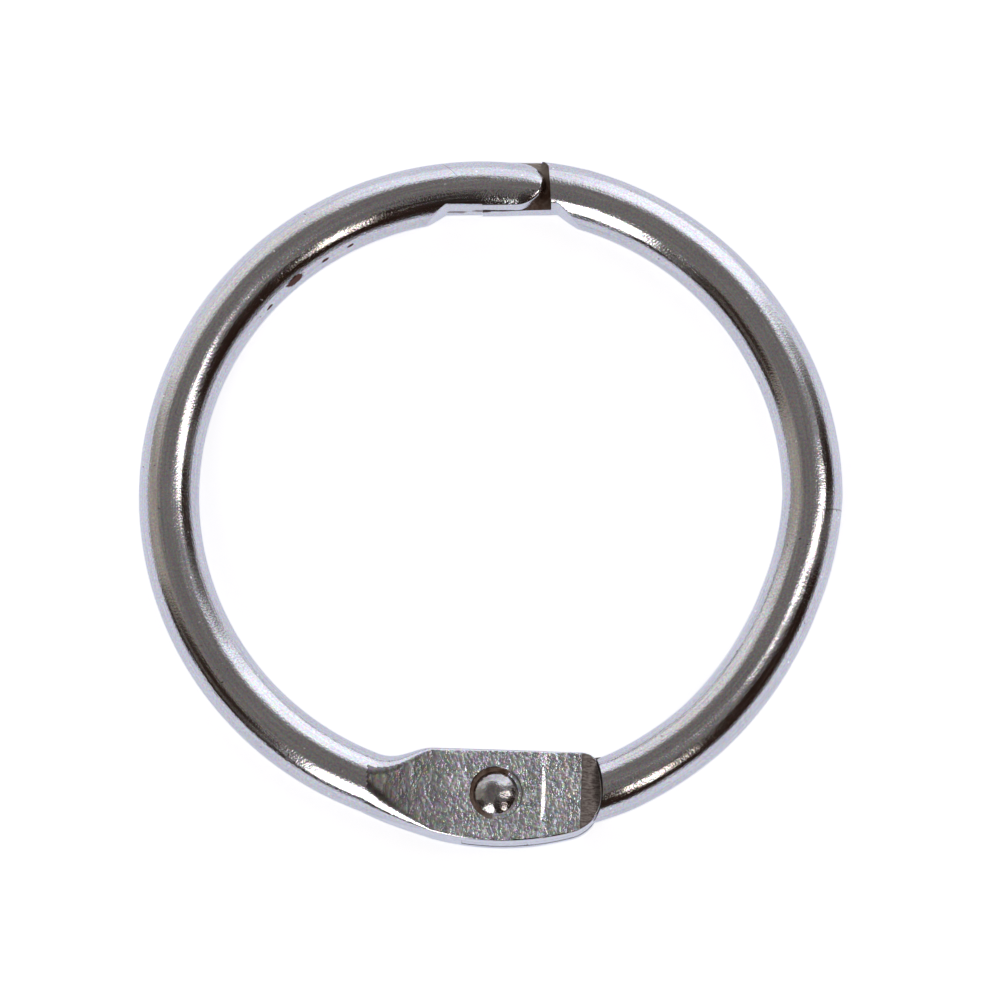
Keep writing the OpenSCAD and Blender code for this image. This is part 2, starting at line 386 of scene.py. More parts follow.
back_out = np.interp(CHEEK_BACK, -outline[foremost:, 0], outline[foremost:, 1])
start = np.array([-BEND_X + RING_R * math.cos(flare_angle), BEND_Y + RING_R * math.sin(flare_angle)])
start_dir = np.array([-math.sin(flare_angle), math.cos(flare_angle)])
end = at_rivet(np.array([-CHEEK_BACK, (FORK_IN + back_out) / 2]))
end_dir = at_rivet(np.array([1.0, 0])) - PIVOT
span = np.hypot(*(end - start))
growth = (FORK_IN - back_out) / 2 - WIRE_R
for t in np.linspace(0, 1, 44)[1:]:
    soft = 3 * t * t - 2 * t**3       # starts and ends gently
    here = ((1 - soft) * start + (t**3 - 2 * t**2 + t) * span * start_dir
            + soft * end + (t**3 - t**2) * span * end_dir)
    way = flare_angle + (math.radians(270) + TILT - flare_angle) * soft
    section = spaced(pressed_section(
        WIRE_R + growth * t**1.4, WIRE_R + growth * soft**1.05,
        WIRE_R - (WIRE_R - FORK_HALF) * (0.5 * t * (2 - t) + 0.5 * t),
        WIRE_R + (EASE_OUT - WIRE_R) * t, WIRE_R + (EASE_IN - WIRE_R) * t))
    plan = here + section[:, :1] * np.array([math.cos(way), math.sin(way)])
    fork.grow(np.column_stack([plan, MID_Z + section[:, 1]]))
print("the flare is", round(float(span), 2), "mm long")

# %% The cheek's thickness, and where its sections stand
STEP_X, STEP_WIDE, STEP_DEPTH = 2.44, 0.26, 0.078    # a shallow step left by the press
NOSE_X, NOSE_DROP = 4.6, 0.34         # the nose slopes down from here
BOW_IN, BOW_OUT = 0.38, 0.72          # its bowed sections start this far past, inside and outside


def cheek_half(x):
    """Half thickness along the cheek: flat, then the pressed step, then the sloped nose."""
    step = np.clip((x - STEP_X) / STEP_WIDE, 0, 1)
    nose = np.maximum(x - NOSE_X, 0) / (EAR_REACH - NOSE_X)
    return FORK_HALF - STEP_DEPTH * step - NOSE_DROP * nose**1.3


# each station: x on the inner side, x on the outer side, share of the nose's bow, inset and drop
straight = np.r_[np.linspace(-CHEEK_BACK, STEP_X - 0.03, 64)[1:],
                 np.linspace(STEP_X, STEP_X + STEP_WIDE, 8),
                 np.linspace(STEP_X + STEP_WIDE + 0.03, NOSE_X, 20)]
stations = [(x, x, 0.0, EASE_NOSE, 0) for x in straight]
stations += [(NOSE_X + BOW_IN * f, NOSE_X + BOW_OUT * f, f, EASE_NOSE, 0)
             for f in np.linspace(0, 1, 14)[1:]]
stations += [(NOSE_X + BOW_IN, NOSE_X + BOW_OUT, 1.0,
              EASE_NOSE * (1 - math.sin(b)), EASE_NOSE * (1 - math.cos(b)))
             for b in np.radians([15, 35, 55, 75, 90])]
print("the cheek has", len(stations), "sections")

# %% Cheek and nose as a loft
in_end, out_end = run_at(NOSE_X + BOW_IN, True), run_at(NOSE_X + BOW_OUT, False)
for x_in, x_out, bow, inset, drop in stations:
    p_in, p_out = on_outline(run_at(x_in, True)), on_outline(run_at(x_out, False))
    reach = (p_in[1] - p_out[1]) / 2
    near_nose = np.clip((max(x_in, x_out) - 3.6) / 1.6, 0, 1)
    ease_in = EASE_IN + (0.12 - EASE_IN) * np.clip((x_in + CHEEK_BACK) / 8, 0, 1)
    ease_in += (EASE_NOSE - ease_in) * near_nose
    ease_out = EASE_OUT + (EASE_NOSE - EASE_OUT) * near_nose
    half_mid = cheek_half((x_in + x_out) / 2)
    section = spaced(pressed_section(reach, reach, half_mid, ease_out, ease_in))
    v = np.clip((reach - section[:, 0]) / (2 * reach), 0, 1)
    plan = p_out + v[:, None] * (p_in - p_out)
    if bow:
        runs = out_end + v * (in_end - out_end)
        chord = on_outline(out_end) + v[:, None] * (on_outline(in_end) - on_outline(out_end))
        middle = np.clip(np.minimum(v, 1 - v) / 0.04, 0, 1)[:, None]    # no inset at the sides
        rounded_off = middle * on_outline(runs, inset) + (1 - middle) * on_outline(runs)
        plan = plan + bow * (rounded_off - chord)
    lift = (cheek_half(plan[:, 0]) - drop * bow) / half_mid
    points = np.column_stack([at_rivet(plan), MID_Z + section[:, 1] * lift])
    fork.grow(points)
fork.close(fork.last, points, 13)
fork_half = fork.mesh("forked_half")

# %% [markdown]
# ## Cutting the slot, the rivet's hole and its seats
# On the real part a saw cuts the slot and a drill the hole. They could be left out, because the
# tongue and the rivet fill them, but they show as soon as the ring opens. So they are cut here
# too, with solid cutters in the saw's and the drill's own sizes, which gives true sharp edges.

# %% Cutters
def turned(name, profile, centre, segments):
    """Solid turned about an upright axis from (radius, height) pairs, top and bottom closed."""
    me = bpy.data.meshes.new(name)
    bm = bmesh.new()
    turns = np.arange(segments) * 2 * math.pi / segments
    rings = [[bm.verts.new((MM * (centre[0] + r * math.cos(t)),
                            MM * (centre[1] + r * math.sin(t)), MM * z)) for t in turns]
             for r, z in profile]
    for a, b in zip(rings, rings[1:]):
        for k in range(segments):
            bm.faces.new((a[k - 1], a[k], b[k], b[k - 1]))
    bm.faces.new(rings[0][::-1])
    bm.faces.new(rings[-1])
    bmesh.ops.recalc_face_normals(bm, faces=bm.faces)
    bm.to_mesh(me)
    bm.free()
    o = bpy.data.objects.new(name, me)
    bpy.context.scene.collection.objects.link(o)
    print(name, "as turned:", len(me.polygons), "faces")
    return o


def plate(name, plan, low, high):
    """Flat plate with the given plan between two heights."""
    skin = Skin()
    rings = [skin.add(np.column_stack([plan, np.full(len(plan), z)])) for z in (low, high)]
    skin.join(*rings)
    skin.faces += [tuple(rings[0]), tuple(rings[1][::-1])]
    return skin.mesh(name)


def carve(o, cutter, how="DIFFERENCE"):
    """Cuts one solid from another, or joins it on, and keeps the result as o's own mesh."""
    m = o.modifiers.new("cut", "BOOLEAN")
    m.operation, m.solver, m.object = how, "EXACT", cutter
    bpy.context.view_layer.update()
    made = bpy.data.meshes.new_from_object(o.evaluated_get(bpy.context.evaluated_depsgraph_get()))
    o.modifiers.clear()
    old, o.data = o.data, made
    bpy.data.meshes.remove(old)
    bpy.data.objects.remove(cutter)
    print(o.name, how.lower(), "->", len(made.polygons), "faces")


# %% Slot, hole and seats
SLOT_T, SLOT_R, SAW_END = 1.1, 3.1, 9    # the saw's thickness, its round end, and past the nose
SEAT_R, SEAT_DEPTH, HOLE_R = 1.43, 0.25, 1.0

slot_plan = np.vstack([arc(0, 0, SLOT_R, 90, 270, 180), [[SAW_END, -SLOT_R], [SAW_END, SLOT_R]]])
carve(fork_half, plate("saw", at_rivet(slot_plan), MID_Z - SLOT_T / 2, MID_Z + SLOT_T / 2))
seat = FORK_HALF - SEAT_DEPTH
# up from the seat: a small fillet, the wall, a broken edge, and clear of the cheek
up = [(HOLE_R, seat), (SEAT_R - 0.04, seat), (SEAT_R, seat + 0.04), (SEAT_R, FORK_HALF - 0.03),
      (SEAT_R + 0.06, FORK_HALF + 0.03), (SEAT_R + 0.06, FORK_HALF + 0.4)]
drill_profile = [(r, MID_Z - z) for r, z in up[::-1]] + [(r, MID_Z + z) for r, z in up]
carve(fork_half, turned("drill", drill_profile, PIVOT, 128))

# %% [markdown]
# ## The snap
# A punch raised a small pip under the upper lap, and a dimple in the lower lap takes it. A bump
# in the finish would not stand up when the ring is open, so both are real shapes. The pip is the
# cap of a ball, and the dimple is the same ball with a little room round it.

# %% Pip
PIP_R, PIP_H, PIP_GAP, PIP_LAP = 0.45, 0.16, 0.05, 0.04
PIP_AT = (1.1, BEND_Y + RING_R)
PIP_TOP = MID_Z + 0.1                 # buried in the lap above
BALL_R = (PIP_R**2 + PIP_H**2) / (2 * PIP_H)
BALL_Z = MID_Z + BALL_R - PIP_H - PIP_LAP


def ball_cap(r, top, rows=14):
    """Profile of the part of the ball from its lowest point up to height top."""
    widest = math.acos((BALL_Z - top) / r)
    return [(max(r * math.sin(k), 0.001), BALL_Z - r * math.cos(k))
            for k in np.linspace(0, widest, rows)]


carve(fork_half, turned("pip", ball_cap(BALL_R, PIP_TOP), PIP_AT, 48), "UNION")

# %% [markdown]
# ## The tongued half
# Its wire starts with the lower lap and its shoulder, and stops on a circle about the rivet, so
# that the ears can swing past. A plane cut would do for the lap's end and the shoulder, but
# leaning the last few sections keeps their quads in line with the wire on both sides.

# %% Leaning sections
LEAN_SPREAD = 0.9                     # mm of wire over which a leaning section comes upright


def leaning(at, angle, section, x_of_u):
    """The lean that passes through x_of_u at one angle and fades along the wire from there."""
    near = math.exp(-(((angle - at) * RING_R / LEAN_SPREAD) ** 2))
    return near * lean_to(1, at, section, x_of_u)


def shoulder_line(u):
    """x of the shoulder across the wire: nearly straight, then drawn back at its outer corner."""
    return SHOULDER_X - SHOULDER_LEAN * u / WIRE_R - 0.35 * np.maximum(0, u / WIRE_R / 0.3 - 2.3333) ** 2


shoulder_angle = angle_at(1, SHOULDER_X)
print("the lower lap is", round((LOWER_ANGLE - shoulder_angle) * RING_R, 2), "mm long")

# %% Lower lap and shoulder
tongue = Skin()
lap_end = lap_section(1, LOWER_ANGLE, False)
centre = np.array([0, -WIRE_R * 0.5])
rings = []
for f, back in ((0.996, 0.0), (0.999, 0.002), (1.0, 0.006)):
    s, a = centre + f * (lap_end - centre), LOWER_ANGLE - back / RING_R
    points = on_wire(1, a, s, leaning(LOWER_ANGLE, a, s, LOWER_X))
    rings.append((tongue.grow(points), points))
tongue.close(*rings[0], 4)
for a in np.linspace(LOWER_ANGLE - 0.02 / RING_R, shoulder_angle, 52):
    s = lap_section(1, a, False)
    tongue.grow(on_wire(1, a, s, leaning(shoulder_angle, a, s, shoulder_line(s[:, 0]))
                        + leaning(LOWER_ANGLE, a, s, LOWER_X)))
for past in (0.002, 0.03):            # two rings close together keep the shoulder's corner crisp
    s = wire_section(1, shoulder_angle)
    tongue.grow(on_wire(1, shoulder_angle - past / RING_R, s,
                        lean_to(1, shoulder_angle, s, shoulder_line(s[:, 0]))))
print("lower lap:", tongue.count, "points")

# %% Wire of the tongued half
WIRE_STOP = 4.6                       # the wire's middle line ends this far from the rivet

angles = np.radians(np.linspace(-90, 0, 9001))
mids = np.stack([BEND_X + RING_R * np.cos(angles), BEND_Y + RING_R * np.sin(angles)], 1)
meet = angles[np.argmax(np.hypot(*(mids - PIVOT).T) > WIRE_STOP)]
for a in np.linspace(shoulder_angle - 0.1 / RING_R, meet, 520):
    s = wire_section(1, a)
    tongue.grow(on_wire(1, a, s, leaning(shoulder_angle, a, s, shoulder_line(s[:, 0]))))
for f, past in ((0.99, 0.01), (0.97, 0.03)):
    points = on_wire(1, meet - past / RING_R, f * plain)
    tongue.grow(points)
tongue.close(tongue.last, points, 13)
tongue_half = tongue.mesh("tongued_half")

# %% Room for the ears, and the dimple
SWING_R, EAR_ROOM = 5.8, 0.05         # circle that the ears swing in, and the room beside them
BELOW_ALL, ABOVE_ALL = -1, 5          # heights clear of the ring on both sides

below = (outline - EAR_ROOM * inward)[foremost:][::4]
turn = math.degrees(math.atan2(below[0, 1], below[0, 0]))
room = np.vstack([arc(0, 0, SWING_R, 70, turn + 0.2, 200), below, [[0, 0]]])
carve(tongue_half, plate("ear_room", at_rivet(room), BELOW_ALL, ABOVE_ALL))
carve(tongue_half, turned("dimple", ball_cap(BALL_R + PIP_GAP, PIP_TOP), PIP_AT, 48))

# %% [markdown]
# ## The flat tongue
# The tongue was pressed from the end of the wire, and it fills the slot with almost no room. It
# could be lofted on from the wire, but it is hidden while the ring is shut and plain when it
# opens. So it is a plate in the ears' own outline, joined to the wire by a short neck, and
# reamed for the rivet.

# %% Rim of the tongue
TONGUE_END_R, TONGUE_INSET, HEEL = 3.085, 0.006, math.radians(-54.5)

edge = outline + TONGUE_INSET * inward
polar = np.arctan2(edge[:, 1], edge[:, 0])
far = np.hypot(*edge.T)
ahead = edge[(polar > HEEL) & (edge[:, 0] > -1.92)][::3]
under = edge[(polar < HEEL) & (far < TONGUE_END_R) & (edge[:, 1] < 0)][::3]
left_low, left_high, right_low = (math.degrees(math.atan2(p[1], p[0]))
                                  for p in (under[-1], ahead[0], under[0]))
rim = np.vstack([ahead, arc(0, 0, TONGUE_END_R, math.degrees(HEEL), right_low - 0.5, 12), under,
                 arc(0, 0, TONGUE_END_R, left_low - 0.5, left_high - 360 + 0.5, 110)])
print("tongue rim:", len(rim), "points")

# %% Tongue with its neck and hole
TONGUE_T, TONGUE_EASE = 1.088, 0.006
NECK_R, NECK_HALF, REAM_R = 1.5, 0.49, 1.05

along = np.roll(rim, -1, 0) - np.roll(rim, 1, 0)
along /= np.hypot(*along.T)[:, None]
inside = np.stack([along[:, 1], -along[:, 0]], 1)
upper = [(TONGUE_EASE * (1 - math.cos(b)), TONGUE_T / 2 - TONGUE_EASE * (1 - math.sin(b)))
         for b in np.radians([90, 60, 30, 0])]
blade = Skin()
for row, (inset, z) in enumerate(upper + [(i, -z) for i, z in upper[::-1]]):
    ring = blade.grow(np.column_stack([at_rivet(rim + inset * inside), np.full(len(rim), MID_Z + z)]))
    if row == 0:
        blade.faces.append(tuple(ring))
blade.faces.append(tuple(blade.last[::-1]))
tongue_plate = blade.mesh("tongue_plate")
neck_x = PIVOT[0] + EAR_REACH
neck = np.array([neck_x, BEND_Y + RING_R * math.sin(-angle_at(1, neck_x))])
line = neck - PIVOT
way = math.degrees(math.atan2(line[1], line[0]))
neck_plan = np.vstack([arc(*(PIVOT + 0.3 * line), NECK_R, way + 90, way + 270, 40),
                       arc(*neck, NECK_R, way - 90, way + 90, 40)])
carve(tongue_plate, plate("neck", neck_plan, MID_Z - NECK_HALF, MID_Z + NECK_HALF), "UNION")
carve(tongue_half, tongue_plate, "UNION")
carve(tongue_half, turned("reamer", [(REAM_R, MID_Z - 1), (REAM_R, MID_Z + 1)], PIVOT, 96))

# %% [markdown]
# ## The rivet
# A plain shank with both ends headed over into low domes that sit in the drilled seats. A
# squashed ball would bulge at its rim, so one profile of dome, rim and shank is turned instead.

# %% Rivet
HEAD_R, HEAD_H, SHANK_R = 1.23, 0.45, 1.0

dome_r = (HEAD_R**2 + HEAD_H**2) / (2 * HEAD_H)
dome = [(dome_r * math.sin(k), seat + HEAD_H - dome_r * (1 - math.cos(k)))
        for k in np.linspace(0, math.asin(HEAD_R / dome_r), 28)[1:]]
half = [(0.001, seat + HEAD_H), *dome, (HEAD_R - 0.02, seat), (SHANK_R, seat - 0.001), (SHANK_R, 0.0)]
whole = [(r, MID_Z + z) for r, z in half] + [(r, MID_Z - z) for r, z in half[::-1][1:]]
rivet = turned("rivet_domes", whole, PIVOT, 96)

# %% [markdown]
# ## Smooth shading
# Curved metal is shaded smooth, and an edge stays crisp where two faces meet at a real angle.
# Smooth shading alone bends the light on a flat near its edge, because a corner's direction is
# the mean of all faces round it. Weighting that mean by the size of the faces keeps flats flat.

# %% Shading
for o in (fork_half, tongue_half, rivet):
    o.data.polygons.foreach_set("use_smooth", np.ones(len(o.data.polygons), bool))
    o.data.set_sharp_from_angle(angle=math.radians(32))
    o.data.update()
    even = o.modifiers.new("even_light", "WEIGHTED_NORMAL")
    even.keep_sharp = True
    print(o.name, "shaded smooth, with crisp edges kept")

# %% [markdown]
# ## Finishes
# Each finish starts from the real metal and how its surface was made. Painting pictures on to the
# ring would need unwrapping and would blur close up. Patterns made by nodes, at their real size
# in millimetres, stay sharp at any distance. One function adds every node.

# %% Colours and nodes
def lin(hex_colour):
    """sRGB hex to the linear values that shaders use."""
    c = [int(hex_colour[i:i + 2], 16) / 255 for i in (1, 3, 5)]
    return tuple(v / 12.92 if v <= 0.04045 else ((v + 0.055) / 1.055) ** 2.4 for v in c) + (1.0,)


def add_node(tree, kind, feeds=(), **settings):
    """One node with its settings. A list feeds its sockets from the top, a dict by name or number.
    A feed is a value, a hex colour, an output, or a node, which stands for its first output."""
    n = tree.nodes.new("ShaderNode" + kind)
    for key, value in settings.items():
        setattr(n, key, value)
    for key, feed in feeds.items() if isinstance(feeds, dict) else enumerate(feeds):
        if isinstance(feed, bpy.types.Node):
            feed = feed.outputs[0]
        if isinstance(feed, bpy.types.NodeSocket):
            tree.links.new(feed, n.inputs[key])
        else:
            n.inputs[key].default_value = lin(feed) if isinstance(feed, str) else feed
    return n


MASK, BASE, OVER, BLEND = 0, 6, 7, 2  # a Mix node's sockets and output for colours
print("mid grey is", round(lin("#808080")[0], 3), "in linear light")


# %% Helpers for every finish
def new_material(name):
    m = bpy.data.materials.new(name)
    m.use_nodes = True
    m.node_tree.nodes.clear()
    return m, m.node_tree


def place_mm(t):
    """Place in millimetres from the middle of the bends, at half the wire's height."""
    place = add_node(t, "TexCoord").outputs["Object"]
    return add_node(t, "VectorMath", [place, (1 / MM,) * 3, (0, -BEND_Y, -MID_Z)],
                    operation="MULTIPLY_ADD")


def reach_mm(t, place):
    """Distance from the middle of the ring, seen from above."""
    parts = add_node(t, "SeparateXYZ", [place])
    flat = add_node(t, "CombineXYZ", [parts.outputs["X"], parts.outputs["Y"]])
    return add_node(t, "VectorMath", [flat], operation="LENGTH").outputs["Value"]


def bumped(t, layers):
    """Stacks bumps from (height, depth in mm) pairs, coarse ones first."""
    normal = None
    for height, depth in layers:
        feeds = {"Height": height, "Strength": 1.0, "Distance": depth * MM}
        if normal is not None:
            feeds["Normal"] = normal
        normal = add_node(t, "Bump", feeds)
    return normal


def tinted(t, base, grain, spread):
    """The base colour with a little of the grain's own random hue over it."""
    hue = add_node(t, "VectorMath", [grain.outputs["Color"], (spread,) * 3, (1 - spread / 2,) * 3],
                   operation="MULTIPLY_ADD")
    return add_node(t, "VectorMath", [hue, base], operation="MULTIPLY")


def finish_metal(m, t, colour, rough, normal):
    metal = add_node(t, "BsdfPrincipled", {"Base Color": colour, "Roughness": rough, "Normal": normal,
                                           "Metallic": 1.0})
    add_node(t, "OutputMaterial", {"Surface": metal})
    print(m.name, "has", len(t.nodes), "nodes")


print("depths given in mm are multiplied by", MM, "because Blender works in metres")

# %% [markdown]
# ## Nickel-plated drawn wire
# Steel wire is pulled through a die, which leaves fine lines along it, and is then plated with
# bright nickel. To the eye that is a mirror with a faint grain, long soft streaks, and small
# pits, stains and dust. Streaks made in plain x and y would run straight across the bend, so the
# pattern uses the distance along the wire, its reach from the middle, and its height. Real draw
# lines are about 0.03 mm apart and plating grain is finer still. Both are drawn coarser here, at
# 0.13 and 0.11 mm, because finer ones would not show.

# %% Place along the wire
DRAW_STRETCH, BLOT_STRETCH = 28.0, 2.5    # lines are this many times as long as wide

wire_finish, t = new_material("nickel_plated_drawn_wire")
place = place_mm(t)
reach = reach_mm(t, place)
parts = add_node(t, "SeparateXYZ", [place])
down = add_node(t, "Math", [parts.outputs["Y"], -1.0], operation="MULTIPLY")
turn = add_node(t, "Math", [parts.outputs["X"], down], operation="ARCTAN2")
along = add_node(t, "Math", [turn, RING_R], operation="MULTIPLY")
on_wire_mm = add_node(t, "CombineXYZ", [along, reach, parts.outputs["Z"]])
drawn = add_node(t, "VectorMath", [on_wire_mm, (1 / DRAW_STRETCH, 1, 1)], operation="MULTIPLY")
blot_place = add_node(t, "VectorMath", [on_wire_mm, (1 / BLOT_STRETCH, 1, 1)], operation="MULTIPLY")
print("draw lines run", DRAW_STRETCH, "times as far as they are wide")

# %% Draw lines, grain and pits
lines = add_node(t, "TexNoise", {"Vector": drawn, "Scale": 1 / 0.13, "Detail": 3.0, "Roughness": 0.6})
bands = add_node(t, "TexNoise", {"Vector": drawn, "Scale": 1 / 0.5, "Detail": 1.0})
grain = add_node(t, "TexNoise", {"Vector": place, "Scale": 1 / 0.11, "Detail": 1.0})
waves = add_node(t, "TexNoise", {"Vector": place, "Scale": 1 / 2.4, "Detail": 1.0})
pit_field = add_node(t, "TexVoronoi", {"Vector": place, "Scale": 1 / 0.75, "Randomness": 1.0})
pit = add_node(t, "MapRange", [pit_field, 0.045, 0.09, 1.0, 0.0])
patches = add_node(t, "TexNoise", {"Vector": place, "Scale": 1 / 1.7, "Detail": 2.0})
patchy = add_node(t, "MapRange", [patches, 0.52, 0.62])
pits = add_node(t, "Math", [pit, patchy], operation="MULTIPLY")
normal = bumped(t, [(waves, 0.05), (bands, 0.012), (lines, 0.006), (grain, 0.007), (pits, -0.008)])
streak = add_node(t, "MapRange", [lines, 0.3, 0.7])
tone = add_node(t, "Mix", {MASK: streak, BASE: "#C4C2C5", OVER: "#D9D7D9"},
                data_type="RGBA").outputs[BLEND]
tone = tinted(t, tone, grain, 0.9)
print("pits lie about 0.75 mm apart, in patches 1.7 mm wide")

# %% Brown stains and blots, where the plating has been rubbed off
speck_field = add_node(t, "TexNoise", {"Vector": place, "Scale": 1 / 0.3, "Detail": 2.0})
specks = add_node(t, "MapRange", [speck_field, 0.71, 0.74])
stains = add_node(t, "Math", [specks, patchy], operation="MULTIPLY")
ragged = add_node(t, "TexNoise", {"Vector": place, "Scale": 1 / 0.35, "Detail": 3.0, "Roughness": 0.65})
# distance along the wire, reach, height and size of each blot
BLOTS = [(-41.0, 15.96, 0.85, 0.27), (-43.2, 15.89, 0.7, 0.12), (-44.9, 15.79, 0.75, 0.1),
         (-51.6, 16.04, -0.35, 0.27), (-53.0, 15.99, -0.1, 0.24), (-38.9, 15.88, 0.7, 0.12)]
for at, across, height, size in BLOTS:
    away = add_node(t, "VectorMath", [blot_place, (at / BLOT_STRETCH, across, height)],
                    operation="DISTANCE")
    rim_of_blot = add_node(t, "Math", [ragged, 1.4 * size, away.outputs["Value"]],
                           operation="MULTIPLY_ADD")
    blot = add_node(t, "MapRange", [rim_of_blot, 1.55 * size, 1.75 * size, 1.0, 0.0])
    stains = add_node(t, "Math", [stains, blot], operation="MAXIMUM")
tone = add_node(t, "Mix", {MASK: stains, BASE: tone, OVER: "#563A33"}, data_type="RGBA").outputs[BLEND]
print(len(BLOTS), "blots placed")

# %% Hairline nicks, dust and gloss
CREST = 18.2                          # reach where a nick has its given place along the wire
# distance along the wire, slant, half width, and the reach where it starts
NICKS = [(25.75, 0.2, 0.022, 18.05), (-51.4, 0.7, 0.012, 17.6)]
for at, slant_by, half_wide, lowest in NICKS:
    lean = add_node(t, "Math", [reach, -slant_by, along], operation="MULTIPLY_ADD")
    off = add_node(t, "Math", [lean, at - slant_by * CREST], operation="SUBTRACT")
    off = add_node(t, "Math", [off], operation="ABSOLUTE")
    thin = add_node(t, "MapRange", [off, half_wide, 2 * half_wide, 1.0, 0.0])
    high = add_node(t, "MapRange", [reach, lowest, lowest + 0.1])
    nick = add_node(t, "Math", [thin, high], operation="MULTIPLY")
    tone = add_node(t, "Mix", {MASK: nick, BASE: tone, OVER: "#A49E9C"},
                    data_type="RGBA").outputs[BLEND]
dust_field = add_node(t, "TexVoronoi", {"Vector": place, "Scale": 1 / 0.95, "Randomness": 1.0})
dust = add_node(t, "MapRange", [dust_field, 0.05, 0.085, 1.0, 0.0])
tone = add_node(t, "Mix", {MASK: dust, BASE: tone, OVER: "#F4F4F4"}, data_type="RGBA").outputs[BLEND]
rough = add_node(t, "MapRange", [lines, 0.3, 0.7, 0.08, 0.19])
dusty = add_node(t, "Math", [dust, rough], operation="MULTIPLY")
rough = add_node(t, "Math", [rough, dusty], operation="ADD")
finish_metal(wire_finish, t, tone, rough, normal)

# %% [markdown]
# ## The pressed flat of the cheek
# The press squeezed the wire between two plain dies before plating. The plated flat is no longer
# a mirror: it has the dies' dimpled grain, about 0.2 mm wide and drawn out across the cheek, which
# breaks the light into small bright and dark marks. It could be modelled, but there are thousands
# of dimples and none changes the outline, so bump and roughness carry them. They are weak at the
# back, where the press hardly touched the wire, and strong towards the nose. The colour is also
# painted dark at the back, as painted shade for the dark room that the flat mirrors there.

# %% Pressed flat
cheek_finish, t = new_material("nickel_plated_pressed_cheek")
place = place_mm(t)
slant = add_node(t, "Mapping", {"Vector": place, "Rotation": (0, 0, math.radians(-9)),
                                "Scale": (1.0, 0.55, 1.0)})
press = add_node(t, "TexNoise", {"Vector": slant, "Scale": 1 / 0.23, "Detail": 2.0, "Roughness": 0.6})
dapple = add_node(t, "TexNoise", {"Vector": slant, "Scale": 1 / 0.62, "Detail": 1.0})
spark = add_node(t, "TexNoise", {"Vector": place, "Scale": 1 / 0.17, "Detail": 1.0})
parts = add_node(t, "SeparateXYZ", [place])
toward_nose = add_node(t, "MapRange", [parts.outputs["X"], -5.7, -1.2, 0.1, 1.2])
dimples = add_node(t, "Math", [press, toward_nose], operation="MULTIPLY")
sparkle = add_node(t, "Math", [spark, toward_nose], operation="MULTIPLY")
normal = bumped(t, [(dapple, 0.03), (dimples, 0.084), (sparkle, 0.04)])
print("dimples 0.23 mm wide, in dapples of 0.62 mm")

# %% Its colour and gloss
crests = add_node(t, "MapRange", [press, 0.35, 0.65])
plated = add_node(t, "Mix", {MASK: crests, BASE: "#C8CCD1", OVER: "#F3F5F7"},
                  data_type="RGBA").outputs[BLEND]
# painted shade: the flat's colour runs dark towards the back, standing in for the dark room it mirrors
# there
tone = add_node(t, "Mix", {MASK: toward_nose, BASE: "#665F5B", OVER: plated},
                data_type="RGBA").outputs[BLEND]
tone = tinted(t, tone, spark, 1.3)
wear = add_node(t, "TexNoise", {"Vector": slant, "Scale": 1 / 0.45, "Detail": 1.0})
wear = add_node(t, "MapRange", [wear, 0.42, 0.6])
strength = add_node(t, "MapRange", [toward_nose, 0.1, 1.2, 0.0, 0.3])
worn = add_node(t, "Math", [wear, strength], operation="MULTIPLY")
tone = add_node(t, "Mix", {MASK: worn, BASE: tone, OVER: "#7D8186"}, data_type="RGBA").outputs[BLEND]
# a pale spot at the point of the flat: a painted highlight
painted_glint = add_node(t, "VectorMath", [place, (-6.45, -15.68, 1.35)], operation="DISTANCE")
painted_glint = add_node(t, "MapRange", [painted_glint.outputs["Value"], 0.14, 0.24, 1.0, 0.0])
tone = add_node(t, "Mix", {MASK: painted_glint, BASE: tone, OVER: "#E4E2D8"}, data_type="RGBA").outputs[BLEND]
rough = add_node(t, "MapRange", [dapple, 0.3, 0.7, 0.2, 0.34])
finish_metal(cheek_finish, t, tone, rough, normal)

# %% [markdown]
# ## The ground nose, and the sawn slot
# The nose was ground to its slope on a belt of about 120 grit, which leaves scores about 0.1 mm
# apart along the cheek. Its colour is made darker than the plated flat. To the eye it is dull and
# streaky. The scores could be cut as grooves, but they are too many. One stretched pattern drives
# the bump, the colour and the gloss instead, because in real metal a score is all three.

# %% Ground nose
nose_finish, t = new_material("ground_steel_nose")
slant = add_node(t, "Mapping", {"Vector": place_mm(t), "Rotation": (0, 0, math.radians(12)),
                                "Scale": (0.22, 1.0, 1.0)})
scores = add_node(t, "TexNoise", {"Vector": slant, "Scale": 1 / 0.09, "Detail": 3.0, "Roughness": 0.6})
normal = bumped(t, [(scores, 0.02)])
ridges = add_node(t, "MapRange", [scores, 0.35, 0.65])
tone = add_node(t, "Mix", {MASK: ridges, BASE: "#574D49", OVER: "#948B86"},
                data_type="RGBA").outputs[BLEND]
rough = add_node(t, "MapRange", [scores, 0.3, 0.7, 0.38, 0.5])
finish_metal(nose_finish, t, tone, rough, normal)
